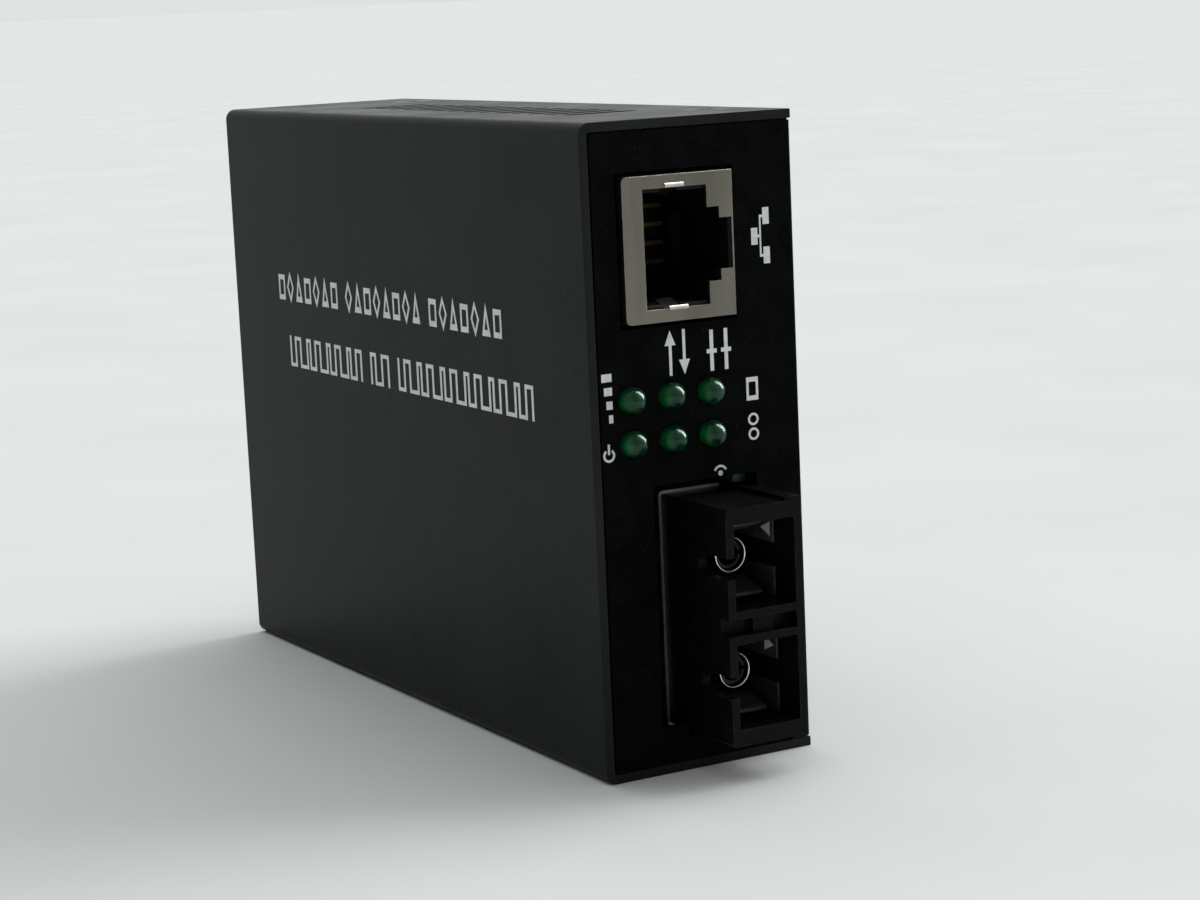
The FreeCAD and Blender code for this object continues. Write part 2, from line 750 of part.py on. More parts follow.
def make_led_holder():
    """Block on the board that carries all LEDs in stepped square pockets."""
    flange_front = led_body_front() + led_length - led_flange_length
    half_width = (led_columns - 1) * led_column_pitch / 2 + led_flange / 2 + led_holder_wall
    top = board_top - led_first - (led_rows - 1) * led_row_pitch - led_flange / 2 - led_holder_wall
    y0, y1 = panel_back + fold_gap, flange_front + led_flange_length + led_holder_back
    holder = block(top, board_top, y0, y1, led_middle - half_width, led_middle + half_width)
    holder = round_edges(holder, led_holder_edge, ALONG_Y, lambda p: p.x < top + led_holder_edge)
    tools = []
    for _, point in led_spots():
        for size, a, b in ((led, y0 - past, y1), (led_flange, flange_front, y1 + past)):
            half = size / 2 + led_play
            tools.append(block(point.x - half, point.x + half, a, b, point.z - half, point.z + half))
    return cut_all(holder, tools)


def make_led_leads():
    """Two bent leads behind every LED, down through the board."""
    leads = []
    half = led_lead / 2
    back = led_body_front() + led_length
    for point, y, z in led_lead_spots():
        run = block(point.x - half, point.x + half, back, y + half, z - half, z + half)
        drop = square_pin(point.x - half, board_under + tail, y, z, led_lead)
        leads.append(join([run, drop]))
    return Part.makeCompound(leads)


def make_sc_housing():
    """Receptacle with two ports, keyways and rails, and the hollow body behind it."""
    x0, x1 = sc_axis - sc_height / 2, sc_axis + sc_height / 2
    z0, z1 = sc_middle - sc_width / 2, sc_middle + sc_width / 2
    y_step = board_front + board_notch - board_gap_ends / 2
    nose = block(x0, x1, sc_face, y_step, z0, z1)
    body = block(x0, board_top, sc_face, front + sc_length, z0, z1)
    shape = round_edges(join([nose, body]), sc_edge, ALONG_Y, lambda p: abs(p.x - board_top) > sc_edge)

    rails = []
    for a, b in ((z0 - sc_rail_height, z0 + module_wall), (z1 - module_wall, z1 + sc_rail_height)):
        rails.append(block(x1 - sc_rail_width, x1, sc_face + sc_edge, panel_back, a, b))
    shape = join([shape] + rails)

    tools = []
    half_x, half_z = port_height / 2, port_width / 2
    for axis_z in port_axes:
        tools.append(block(sc_axis - half_x, sc_axis + half_x, sc_face - past, latch_back + past,
                           axis_z - half_z, axis_z + half_z))
        tools.append(keyway(x0, axis_z))
    tools.append(block(x0 + module_wall, board_top + past, latch_back, front + sc_length - module_wall,
                       z0 + module_wall, z1 - module_wall))
    tools.append(block(x0 - past, sc_axis + half_x, sc_face - past, sc_face + groove_depth,
                       sc_middle - groove_width / 2, sc_middle + groove_width / 2))
    shape = cut_all(shape, tools)

    rib = block(sc_axis - groove_rib / 2, sc_axis + groove_rib / 2, sc_face + groove_rib_step,
                sc_face + groove_depth + groove_rib_root, sc_middle - groove_width / 2,
                sc_middle + groove_width / 2)
    posts = [peg(module_post, V(board_top, y, z), ALONG_X, board + module_post_tail)
             for y, z in module_post_spots()]
    y0 = front + module_post_front - module_foot_depth / 2
    feet = [block(board_top - module_foot, board_top, y0, y0 + module_foot_depth, a, b)
            for a, b in ((z0 + sc_edge, z0 + module_foot_reach), (z1 - module_foot_reach, z1 - sc_edge))]
    return join([shape, rib] + posts + feet)


def keyway(wall, axis_z):
    """Tool for the slot in the port's key side, open at the front and round at its end."""
    radius = keyway_width / 2
    y0, y1 = sc_face - past, sc_face + keyway_length - radius
    x = wall - past
    outline = Part.Wire([
        Part.makeLine(V(x, y0, axis_z - radius), V(x, y1, axis_z - radius)),
        Part.Arc(V(x, y1, axis_z - radius), V(x, y1 + radius, axis_z), V(x, y1, axis_z + radius)).toShape(),
        Part.makeLine(V(x, y1, axis_z + radius), V(x, y0, axis_z + radius)),
        Part.makeLine(V(x, y0, axis_z + radius), V(x, y0, axis_z - radius)),
    ])
    return Part.Face(outline).extrude(ALONG_X * (2 * past + (sc_height - port_height) / 2))


def make_sc_latch(axis_z):
    """Latch piece of one port: a base with the barrel's hole, two hooks and two guide plates."""
    half_x, half_z = port_height / 2 - latch_play, port_width / 2 - latch_play
    base_y = latch_back - latch_base
    base = block(sc_axis - half_x, sc_axis + half_x, base_y, latch_back, axis_z - half_z, axis_z + half_z)
    hole = rod(barrel, V(sc_axis, base_y - past, axis_z), ALONG_Y, latch_base + 2 * past)
    tip = sc_face + hook_behind_face
    outer = hook_inner + hook_thick
    profile = [(base_y, hook_inner), (tip + hook_head + hook_catch, hook_inner),
               (tip + hook_head, hook_inner - hook_catch), (tip + hook_nose, hook_inner - hook_catch),
               (tip, outer - hook_tip), (tip, outer),
               (tip + hook_nose / 2, outer + hook_flare), (tip + hook_head, outer + hook_flare),
               (tip + hook_head + hook_flare, outer), (base_y, outer)]
    hooks = []
    for side in (-1, 1):
        corners = [V(sc_axis - hook_width / 2, y, axis_z + side * r) for y, r in profile]
        hooks.append(prism(corners, ALONG_X * hook_width))
    guides = []
    for side in (-1, 1):
        near, far = sorted((axis_z + side * guide_gap / 2, axis_z + side * half_z))
        guides.append(block(sc_axis + half_x - guide_thick, sc_axis + half_x,
                            sc_face + guide_behind_face, latch_back, near, far))
    return join([base.cut(hole)] + hooks + guides)


def make_sc_barrel(axis_z):
    """Tube round the alignment sleeve, with a flange behind the latch piece."""
    start = V(sc_axis, sc_face + barrel_behind_face, axis_z)
    length = latch_back - sc_face - barrel_behind_face
    tube = rod(barrel, start, ALONG_Y, length)
    flange = peg(barrel_flange, V(sc_axis, latch_back, axis_z), ALONG_Y, barrel_flange_length, small_sides)
    return join([tube, flange]).cut(rod(barrel_bore, start, ALONG_Y, length + barrel_flange_length))


def make_sc_sleeve(axis_z):
    """Split alignment sleeve for the ferrule."""
    start = V(sc_axis, sc_face + barrel_behind_face + sleeve_behind_barrel, axis_z)
    tube = rod(sleeve, start, ALONG_Y, sleeve_length)
    bore = rod(ferrule, start - ALONG_Y * past, ALONG_Y, sleeve_length + 2 * past)
    half = sleeve_slit / 2
    slit = block(sc_axis, sc_axis + sleeve, start.y - past, start.y + sleeve_length + past,
                 axis_z - half, axis_z + half)
    return cut_all(tube, [bore, slit])


def can_front():
    """Y of the optical cans' front face, against the barrels' flanges."""
    return latch_back + barrel_flange_length


def make_sc_can(axis_z):
    """Optical can with its header and two leads."""
    end = can_length + can_header_length
    profile = [(0, can / 2), (can_length, can / 2), (can_length, can_header / 2), (end, can_header / 2)]
    body = turned(profile, V(sc_axis, can_front(), axis_z), ALONG_Y, small_sides)
    y = can_front() + end
    half = can_lead / 2
    x = sc_axis - module_board / 2 - can_lead
    leads = []
    for side in (-1, 1):
        z = axis_z + side * can_lead_pitch / 2
        leads.append(block(x, x + can_lead, y - can_lead_root, y + can_lead_length, z - half, z + half))
    return join([body] + leads)


def make_module_board():
    """Transceiver's inner board, between the cans' leads and the pins."""
    half = sc_width / 2 - module_wall - module_board_play
    x = sc_axis - module_board / 2
    return block(x, x + module_board, front + module_board_front,
                 front + sc_length - module_wall - module_board_play, sc_middle - half, sc_middle + half)


def make_module_pins():
    """Row of pins from the inner board through the main board."""
    x = sc_axis + module_board / 2
    return Part.makeCompound([square_pin(x, board_under + tail, y, z, module_pin)
                              for y, z in module_pin_spots()])


def make_module_shield():
    """Tin-plated shell over the transceiver's body."""
    x0 = sc_axis - sc_height / 2 - module_shield
    z0 = sc_middle - sc_width / 2 - module_shield
    z1 = sc_middle + sc_width / 2 + module_shield
    y0, y1 = front + module_shield_front, front + sc_length + module_shield
    outer = block(x0, board_top - module_shield_foot, y0, y1, z0, z1)
    outer = round_edges(outer, sc_edge + module_shield, ALONG_Y, lambda p: p.x < sc_axis)
    inner = block(x0 + module_shield, board_top + past, y0 - past, front + sc_length, z0 + module_shield,
                  z1 - module_shield)
    inner = round_edges(inner, sc_edge, ALONG_Y, lambda p: p.x < sc_axis)
    return outer.cut(inner)


def on_board(depth, width, height, y, middle, foot=0.0):
    """Block on the board from its front, its middle in Z and its height."""
    return block(board_top - foot - height, board_top - foot, front + y, front + y + depth,
                 middle - width / 2, middle + width / 2)


def make_transformer():
    """Moulded line transformer behind the jack."""
    body = on_board(transformer_depth, transformer_width, transformer_height, transformer_front, jack_middle)
    return round_edges(body, transformer_edge, ALONG_Z, lambda p: p.x < board_top - transformer_edge)


def make_chip():
    """Flat package of the converter chip with a bevelled rim."""
    body = on_board(chip_side, chip_side, chip_height, chip_front, chip_middle, chip_foot)
    top = board_top - chip_foot - chip_height
    return body.makeChamfer(chip_bevel, [e for e in body.Edges if abs(e.CenterOfMass.x - top) < chip_bevel])


def make_chip_leads():
    """Bent leads on the four sides of the chip."""
    leads = []
    middle = V(board_top, front + chip_front + chip_side / 2, chip_middle)
    half = chip_lead_width / 2
    shoulder = chip_foot + chip_height / 2
    inner = chip_lead_reach - chip_lead_thick
    profile = [(0, shoulder), (chip_lead_reach, shoulder), (chip_lead_reach, 0), (inner, 0),
               (inner, shoulder - chip_lead_thick), (0, shoulder - chip_lead_thick)]
    for i in range(chip_leads):
        shift = (i - (chip_leads - 1) / 2) * chip_lead_pitch
        corners = [V(board_top - h, middle.y + chip_side / 2 + r, chip_middle + shift - half)
                   for r, h in profile]
        lead = prism(corners, ALONG_Z * chip_lead_width)
        for turn in range(4):
            copy = lead.copy()
            copy.rotate(middle, ALONG_X, 90 * turn)
            leads.append(copy)
    return Part.makeCompound(leads)


def make_crystal():
    """Low metal can of the crystal on a flat rim."""
    middle = V(board_top, front + crystal_front + crystal_depth / 2, chip_middle)
    parts = []
    for wider, height in ((0.0, crystal_height), (crystal_rim, crystal_rim)):
        length, width = crystal_width + wider, crystal_depth + wider
        parts.append(slot(middle, length, width, crystal_corner, ALONG_Z, -ALONG_X * height))
    return join(parts)


def make_regulator():
    """Power regulator with its metal tab."""
    body = on_board(regulator_depth, regulator_width, regulator_height, regulator_front, regulator_middle)
    tab = on_board(regulator_tab + regulator_tab_root, regulator_tab_width, regulator_tab_height,
                   regulator_front + regulator_depth - regulator_tab_root, regulator_middle)
    return join([body, tab])


def make_inductor():
    """Drum core on an axis square to the board."""
    outer, inner = inductor_across / 2, inductor_across / 2 - inductor_neck
    low, high = inductor_flange, inductor_height - inductor_flange
    profile = [(0, outer), (low, outer), (low, inner), (high, inner), (high, outer), (inductor_height, outer)]
    foot = V(board_top, front + inductor_front + outer, case_height / 2 + inductor_above_middle)
    return turned(profile, foot, -ALONG_X, small_sides)


def make_capacitor(diameter, height, y, from_top):
    """Electrolytic capacitor: a can with a rolled groove near its foot."""
    radius = diameter / 2
    bead = capacitor_bead
    profile = [(0, radius), (capacitor_base, radius), (capacitor_base + bead, radius - bead),
               (capacitor_base + 2 * bead, radius), (height - bead, radius), (height, radius - bead)]
    return turned(profile, V(board_top, front + y + radius, case_height - from_top), -ALONG_X, small_sides)


def make_resistors():
    """Rows of chip resistors."""
    chips = []
    for y in resistor_rows:
        for i in range(resistors_in_row):
            z = resistor_first + i * resistor_pitch
            chips.append(on_board(resistor_length, resistor_width, resistor_height, y, z))
    return Part.makeCompound(chips)


def make_inlet_body():
    """Moulded power inlet: square collar, lower body and the plug's bore."""
    z0, z1 = inlet_middle - inlet_width / 2, inlet_middle + inlet_width / 2
    top = board_top - inlet_height
    collar = block(top, board_top, inlet_face - inlet_collar, inlet_face, z0, z1)
    body = block(top + inlet_neck, board_top, inlet_face - inlet_depth, inlet_face, z0, z1)
    shape = round_edges(join([collar, body]), inlet_edge, ALONG_Y, lambda p: p.x < board_top - inlet_edge)
    mouth = V(inlet_axis_x, inlet_face + past, inlet_middle)
    bore = rod(inlet_bore, mouth, -ALONG_Y, inlet_bore_depth + past)
    pin = peg(inlet_pin, mouth, -ALONG_Y, inlet_depth + 2 * past, small_sides)
    return cut_all(shape, [bore, pin])


def make_inlet_pin():
    """Centre pin of the inlet, with a bevelled tip."""
    start = V(inlet_axis_x, inlet_face - inlet_depth, inlet_middle)
    radius, length = inlet_pin / 2, inlet_depth - inlet_pin_back
    profile = [(0, radius), (length - inlet_pin_bevel, radius), (length, radius - inlet_pin_bevel)]
    return turned(profile, start, ALONG_Y, small_sides)


def make_inlet_blades():
    """Three flat blades from the inlet through the board."""
    return Part.makeCompound([blade(board_top, board_under + tail, y, z, inlet_blade, inlet_blade_width)
                              for y, z in inlet_blade_spots()])


def all_pieces():
    """Every piece by its name."""
    pieces = {
        "cover": make_cover(),
        "tray": make_tray(),
        "cover_screws": make_cover_screws(),
        "board_standoffs": make_standoffs(),
        "board_screws": make_board_screws(),
        "board": make_board(),
        "rj45_shield": make_rj45_shield(),
        "rj45_housing": make_rj45_housing(),
        "rj45_contacts": make_rj45_contacts(),
        "led_holder": make_led_holder(),
        "led_leads": make_led_leads(),
        "sc_housing": make_sc_housing(),
        "sc_module_board": make_module_board(),
        "sc_module_pins": make_module_pins(),
        "sc_module_shield": make_module_shield(),
        "line_transformer": make_transformer(),
        "converter_chip": make_chip(),
        "converter_chip_leads": make_chip_leads(),
        "crystal": make_crystal(),
        "regulator": make_regulator(),
        "power_inductor": make_inductor(),
        "capacitor_large": make_capacitor(big_capacitor, big_capacitor_height, big_capacitor_front,
                                          big_capacitor_from_top),
        "capacitor_small": make_capacitor(small_capacitor, small_capacitor_height, small_capacitor_front,
                                          small_capacitor_from_top),
        "chip_resistors": make_resistors(),
        "dc_inlet_body": make_inlet_body(),
        "dc_inlet_pin": make_inlet_pin(),
        "dc_inlet_blades": make_inlet_blades(),
    }
    for number, (_, point) in enumerate(led_spots(), start=1):
        pieces["led_%d" % number] = make_led(point)
    for name, axis_z in zip(("upper", "lower"), port_axes):
        pieces["sc_latch_" + name] = make_sc_latch(axis_z)
        pieces["sc_barrel_" + name] = make_sc_barrel(axis_z)
        pieces["sc_sleeve_" + name] = make_sc_sleeve(axis_z)
        pieces["sc_can_" + name] = make_sc_can(axis_z)
    return pieces


os.makedirs("parts", exist_ok=True)
for node, shape in all_pieces().items():
    shape.exportStep("parts/%s.step" % node)
    print("%-22s solids %2d valid %s volume %9.2f" % (node, len(shape.Solids), shape.isValid(), shape.Volume))
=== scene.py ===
import bmesh
import bpy
import json
import math
from mathutils import Matrix, Vector

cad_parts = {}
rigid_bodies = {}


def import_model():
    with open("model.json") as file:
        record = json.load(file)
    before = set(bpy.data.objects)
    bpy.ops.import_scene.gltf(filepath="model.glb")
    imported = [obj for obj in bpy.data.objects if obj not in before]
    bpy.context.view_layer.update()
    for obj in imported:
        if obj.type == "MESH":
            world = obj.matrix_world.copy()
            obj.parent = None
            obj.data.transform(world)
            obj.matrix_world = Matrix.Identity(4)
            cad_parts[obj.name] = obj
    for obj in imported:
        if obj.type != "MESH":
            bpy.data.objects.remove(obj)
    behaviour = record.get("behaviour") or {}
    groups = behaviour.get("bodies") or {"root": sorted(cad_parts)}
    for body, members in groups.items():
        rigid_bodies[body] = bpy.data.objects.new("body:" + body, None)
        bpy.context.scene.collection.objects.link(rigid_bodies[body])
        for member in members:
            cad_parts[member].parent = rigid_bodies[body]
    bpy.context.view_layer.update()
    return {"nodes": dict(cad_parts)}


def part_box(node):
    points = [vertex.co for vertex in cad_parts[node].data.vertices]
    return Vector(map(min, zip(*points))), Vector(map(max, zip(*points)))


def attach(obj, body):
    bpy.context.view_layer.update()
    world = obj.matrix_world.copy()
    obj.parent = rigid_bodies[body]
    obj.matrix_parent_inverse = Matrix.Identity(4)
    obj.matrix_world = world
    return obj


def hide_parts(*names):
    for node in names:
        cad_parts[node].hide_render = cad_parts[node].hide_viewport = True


# Looks of a fibre media converter: a case of powder-coated steel with one RJ45 jack, six green
# LEDs and a duplex SC receptacle. Metres, in the frame of the CAD model.

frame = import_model()
nodes = frame["nodes"]
MM = 0.001
ALONG_X, ALONG_Y, ALONG_Z = Vector((1, 0, 0)), Vector((0, 1, 0)), Vector((0, 0, 1))
PORTS = ("upper", "lower")
LEDS = ["led_%d" % number for number in range(1, 7)]


# Materials -----------------------------------------------------------------------------------

class Graph:
    """Short calls for building a node tree."""

    def __init__(self, tree):
        self.tree = tree

    def add(self, kind, **values):
        node = self.tree.nodes.new(kind)
        for key, value in values.items():
            setattr(node, key, value)
        return node

    def link(self, source, target):
        self.tree.links.new(source, target)

    def span(self, source, low, high, to_low=0.0, to_high=1.0, curve="LINEAR"):
        """Maps a range of one value onto another and stops at its ends."""
        node = self.add("ShaderNodeMapRange", interpolation_type=curve)
        for name, value in (("From Min", low), ("From Max", high),
                            ("To Min", to_low), ("To Max", to_high)):
            node.inputs[name].default_value = value
        self.link(source, node.inputs["Value"])
        return node.outputs["Result"]

    def calculate(self, operation, first, second):
        node = self.add("ShaderNodeMath", operation=operation)
        self.link(first, node.inputs[0])
        self.link(second, node.inputs[1])
        return node.outputs["Value"]

    def dot(self, first, second):
        """Dot product of one node's vector with another node's or with a fixed direction."""
        node = self.add("ShaderNodeVectorMath", operation="DOT_PRODUCT")
        self.link(first, node.inputs[0])
        if isinstance(second, Vector):
            node.inputs[1].default_value = second.normalized()
        else:
            self.link(second, node.inputs[1])
        return node.outputs["Value"]


class Nodes(Graph):
    """A new material's node tree, with calls for what the finishes share."""

    def __init__(self, name):
        self.material = bpy.data.materials.new(name)
        self.material.use_nodes = True
        super().__init__(self.material.node_tree)
        self.shader = self.tree.nodes["Principled BSDF"]
        self.place = self.add("ShaderNodeTexCoord").outputs["Object"]

    def noise(self, size, detail, stretch=(1, 1, 1)):
        """Noise whose blotches are about size millimetres wide, longer along an axis where
        stretch is above 1."""
        mapping = self.add("ShaderNodeMapping")
        mapping.inputs["Scale"].default_value = [1 / (size * MM * s) for s in stretch]
        self.link(self.place, mapping.inputs["Vector"])
        noise = self.add("ShaderNodeTexNoise")
        noise.inputs["Scale"].default_value = 1.0
        noise.inputs["Detail"].default_value = detail
        self.link(mapping.outputs["Vector"], noise.inputs["Vector"])
        return noise.outputs["Fac"]

    def blend(self, factor, first, second):
        """Mixes two colours; each is a colour or another node's output."""
        node = self.add("ShaderNodeMix", data_type="RGBA")
        self.link(factor, node.inputs["Factor"])
        for name, value in (("A", first), ("B", second)):
            socket = [s for s in node.inputs if s.name == name and s.type == "RGBA"][0]
            if isinstance(value, tuple):
                socket.default_value = (*value, 1)
            else:
                self.link(value, socket)
        return [s for s in node.outputs if s.type == "RGBA"][0]

    def edges(self, radius):
        """Near 1 within radius millimetres of a sharp edge and 0 on a flat face."""
        bevel = self.add("ShaderNodeBevel", samples=4)
        bevel.inputs["Radius"].default_value = radius * MM
        normal = self.add("ShaderNodeNewGeometry").outputs["Normal"]
        return self.span(self.dot(bevel.outputs["Normal"], normal), 0.97, 0.75)

    def bump(self, height, depth):
        """The shader's normal, for a height of up to depth millimetres."""
        node = self.add("ShaderNodeBump")
        node.inputs["Distance"].default_value = depth * MM
        self.link(height, node.inputs["Height"])
        self.link(node.outputs["Normal"], self.shader.inputs["Normal"])


def finish(name, colour, roughness, metal=0.0, ior=1.45, grain=(0.3, 0.01), mottle=(6.0, 0.25),
           stretch=(1, 1, 1), edge_wear_and_highlight=None, specks=None):
    """Opaque finish. grain is the size and depth of the surface texture and mottle the size and
    share of the colour's variation, sizes in millimetres; edge_wear_and_highlight is the radius
    and colour of lighter edges, which are worn edges on most finishes and a painted highlight on
    the nickel shell, and specks the size, rarity and colour of small light spots."""
    n = Nodes(name)
    mottle_size, share = mottle
    darker = tuple(c * (1 - share) for c in colour)
    lighter = tuple(min(1.0, c * (1 + share)) for c in colour)
    cloud = n.noise(mottle_size, 4.0, stretch)
    paint = n.blend(n.span(cloud, 0.35, 0.65), darker, lighter)
    if specks:
        speck_size, rarity, speck_colour = specks
        dots = n.span(n.noise(speck_size, 0.0), rarity, rarity + 0.03)
        paint = n.blend(dots, paint, speck_colour)
    # Lighter edges: worn paint on most finishes, and a painted highlight along the nickel shell's
    # edges.
    if edge_wear_and_highlight:
        edge_radius, edge_colour = edge_wear_and_highlight
        patches = n.span(n.noise(1.2, 4.0), 0.42, 0.7, 0.0, 0.8)
        worn_and_lit_edges = n.calculate("MULTIPLY", n.edges(edge_radius), patches)
        paint = n.blend(worn_and_lit_edges, paint, edge_colour)
    n.link(paint, n.shader.inputs["Base Color"])
    gloss = n.span(cloud, 0.3, 0.7, roughness - 0.05, roughness + 0.05)
    n.link(gloss, n.shader.inputs["Roughness"])
    grain_size, grain_depth = grain
    n.bump(n.noise(grain_size, 2.0, stretch), grain_depth)
    n.shader.inputs["Metallic"].default_value = metal
    n.shader.inputs["IOR"].default_value = ior
    return n.material


def lens_finish():
    """Green epoxy that light goes through, with faint clouds from casting."""
    n = Nodes("led_green")
    cloud = n.noise(0.9, 2.0)
    green = n.blend(n.span(cloud, 0.35, 0.65), (0.006, 0.20, 0.075), (0.012, 0.30, 0.12))
    n.link(green, n.shader.inputs["Base Color"])
    n.link(n.span(cloud, 0.3, 0.7, 0.04, 0.10), n.shader.inputs["Roughness"])
    n.bump(n.noise(1.5, 1.0), 0.004)
    n.shader.inputs["IOR"].default_value = 1.36
    n.shader.inputs["Transmission Weight"].default_value = 0.92
    return n.material


def core_finish():
    """Denser epoxy inside the lens, in painted light: pale where its surface faces left, as if
    light gathered there, and dark elsewhere as painted shade.
    """
    n = Nodes("led_core")
    facing = n.add("ShaderNodeSeparateXYZ")
    n.link(n.add("ShaderNodeNewGeometry").outputs["Normal"], facing.inputs["Vector"])
    # Painted light and shade by which way the surface faces: pale to the left, dark elsewhere.
    painted_light_side = n.span(facing.outputs["X"], -0.35, -0.95)
    cloud = n.span(n.noise(0.5, 2.0), 0.35, 0.65)
    pale = n.blend(cloud, (0.02, 0.30, 0.11), (0.04, 0.42, 0.16))
    n.link(n.blend(painted_light_side, (0.001, 0.020, 0.009), pale), n.shader.inputs["Base Color"])
    n.link(n.span(cloud, 0.0, 1.0, 0.4, 0.5), n.shader.inputs["Roughness"])
    return n.material


finish_settings = {
    "case_paint": dict(
        colour=(0.0225, 0.0243, 0.0246), roughness=0.31, ior=1.10, grain=(0.20, 0.012),
        mottle=(9.0, 0.14), edge_wear_and_highlight=(0.25, (0.038, 0.040, 0.040)),
        specks=(0.30, 0.79, (0.042, 0.045, 0.045))),
    # The cover's powder coat made about six times darker for the front panel: painted shade,
    # since the front faces away from the light.
    "panel_paint": dict(
        colour=(0.0034, 0.0038, 0.0038), roughness=0.50, ior=1.07, grain=(0.16, 0.014),
        mottle=(3.0, 0.3), edge_wear_and_highlight=(0.20, (0.010, 0.011, 0.011)),
        specks=(0.25, 0.80, (0.014, 0.016, 0.016))),
    "print_white": dict(
        colour=(0.78, 0.79, 0.78), roughness=0.55, grain=(0.10, 0.006), mottle=(0.7, 0.08)),
    "screw_black": dict(
        colour=(0.02, 0.02, 0.022), roughness=0.35, metal=0.4, grain=(0.15, 0.006),
        edge_wear_and_highlight=(0.15, (0.25, 0.25, 0.24))),
    "zinc": dict(
        colour=(0.34, 0.34, 0.33), roughness=0.45, metal=1.0, grain=(0.2, 0.004),
        mottle=(2.0, 0.1)),
    "circuit_board": dict(
        colour=(0.010, 0.075, 0.036), roughness=0.32, grain=(0.5, 0.01), mottle=(2.5, 0.2)),
    # Nickel shell: its edges are lightened far past the metal's own colour, a painted highlight
    # with some real wear in it.
    "nickel_shell": dict(
        colour=(0.148, 0.139, 0.119), roughness=0.34, metal=1.0, grain=(0.12, 0.003),
        mottle=(3.0, 0.12), stretch=(1, 1, 6), edge_wear_and_highlight=(0.14, (0.80, 0.77, 0.68))),
    # The shell's nickel made about three times lighter for the rolled lips: a painted highlight
    # on their bends.
    "nickel_painted_highlight": dict(
        colour=(0.50, 0.48, 0.42), roughness=0.48, metal=1.0, grain=(0.12, 0.003),
        mottle=(1.0, 0.1)),
    "jack_plastic": dict(
        colour=(0.0025, 0.0025, 0.003), roughness=0.5, ior=1.25, grain=(0.2, 0.008)),
    # Gold darkened far below its own colour: painted shade for the contacts deep inside the jack.
    "gold_contact": dict(
        colour=(0.17, 0.12, 0.045), roughness=0.34, metal=1.0, grain=(0.1, 0.002),
        mottle=(1.5, 0.1)),
    "holder_plastic": dict(colour=(0.006, 0.006, 0.006), roughness=0.5),
    "tinned_lead": dict(
        colour=(0.66, 0.66, 0.66), roughness=0.3, metal=1.0, grain=(0.1, 0.003),
        mottle=(1.0, 0.1)),
    "receptacle_plastic": dict(
        colour=(0.0032, 0.0035, 0.0041), roughness=0.38, ior=1.17, grain=(0.16, 0.010),
        mottle=(2.5, 0.3), edge_wear_and_highlight=(0.20, (0.060, 0.061, 0.065))),
    "hook_plastic": dict(
        colour=(0.045, 0.047, 0.052), roughness=0.42, ior=1.42, grain=(0.12, 0.012),
        mottle=(1.2, 0.3), edge_wear_and_highlight=(0.20, (0.16, 0.16, 0.16))),
    "barrel_metal": dict(
        colour=(0.86, 0.86, 0.85), roughness=0.14, metal=1.0, grain=(0.1, 0.001),
        mottle=(1.0, 0.06)),
    # Near-black in place of a pale ceramic: painted shade inside the barrels' bores.
    "ceramic": dict(
        colour=(0.030, 0.029, 0.027), roughness=0.35, grain=(0.3, 0.001), mottle=(2.0, 0.04)),
    "tin_shell": dict(
        colour=(0.50, 0.50, 0.49), roughness=0.36, metal=1.0, grain=(0.2, 0.004),
        mottle=(2.5, 0.15)),
    "chip_epoxy": dict(colour=(0.02, 0.02, 0.02), roughness=0.55, grain=(0.15, 0.012)),
    "crystal_can": dict(
        colour=(0.70, 0.70, 0.70), roughness=0.28, metal=1.0, grain=(0.1, 0.002),
        mottle=(1.5, 0.08)),
    "ferrite": dict(colour=(0.06, 0.06, 0.065), roughness=0.6, grain=(0.2, 0.02)),
    "capacitor_sleeve": dict(colour=(0.03, 0.03, 0.05), roughness=0.3, grain=(0.4, 0.004)),
    "resistor_chip": dict(colour=(0.03, 0.03, 0.03), roughness=0.35, grain=(0.2, 0.006)),
}
finishes = {name: finish(name, **settings) for name, settings in finish_settings.items()}
finishes["led_green"] = lens_finish()
finishes["led_core"] = core_finish()

node_finish = {
    "cover": "case_paint", "tray": "panel_paint", "cover_screws": "screw_black",
    "board_standoffs": "zinc", "board_screws": "zinc", "board": "circuit_board",
    "rj45_shield": "nickel_shell", "rj45_housing": "jack_plastic",
    "rj45_contacts": "gold_contact", "led_holder": "holder_plastic",
    "led_leads": "tinned_lead", "sc_housing": "receptacle_plastic",
    "sc_module_board": "circuit_board", "sc_module_pins": "tinned_lead",
    "sc_module_shield": "tin_shell", "line_transformer": "chip_epoxy",
    "converter_chip": "chip_epoxy", "converter_chip_leads": "tinned_lead",
    "crystal": "crystal_can", "regulator": "chip_epoxy", "power_inductor": "ferrite",
    "capacitor_large": "capacitor_sleeve", "capacitor_small": "capacitor_sleeve",
    "chip_resistors": "resistor_chip", "dc_inlet_body": "jack_plastic",
    "dc_inlet_pin": "tinned_lead", "dc_inlet_blades": "tinned_lead",
}
for port in PORTS:
    node_finish["sc_latch_" + port] = "hook_plastic"
    node_finish["sc_barrel_" + port] = "barrel_metal"
    node_finish["sc_sleeve_" + port] = "ceramic"
    node_finish["sc_can_" + port] = "gold_contact"
for led in LEDS:
    node_finish[led] = "led_green"


def dress(obj, name):
    """Gives every slot of an object one finish."""
    if not obj.data.materials:
        obj.data.materials.append(finishes[name])
    for entry in obj.material_slots:
        entry.material = finishes[name]


for node, name in node_finish.items():
    dress(nodes[node], name)


# Pieces --------------------------------------------------------------------------------------

def put(name, data):
    """Puts a mesh, a lamp or a camera in the scene."""
    obj = bpy.data.objects.new(name, data)
    bpy.context.scene.collection.objects.link(obj)
    return obj


def mesh_of(bm, name):
    """Ends a bmesh as a mesh whose faces all look outwards."""
    bmesh.ops.recalc_face_normals(bm, faces=bm.faces)
    mesh = bpy.data.meshes.new(name)
    bm.to_mesh(mesh)
    bm.free()
    return mesh


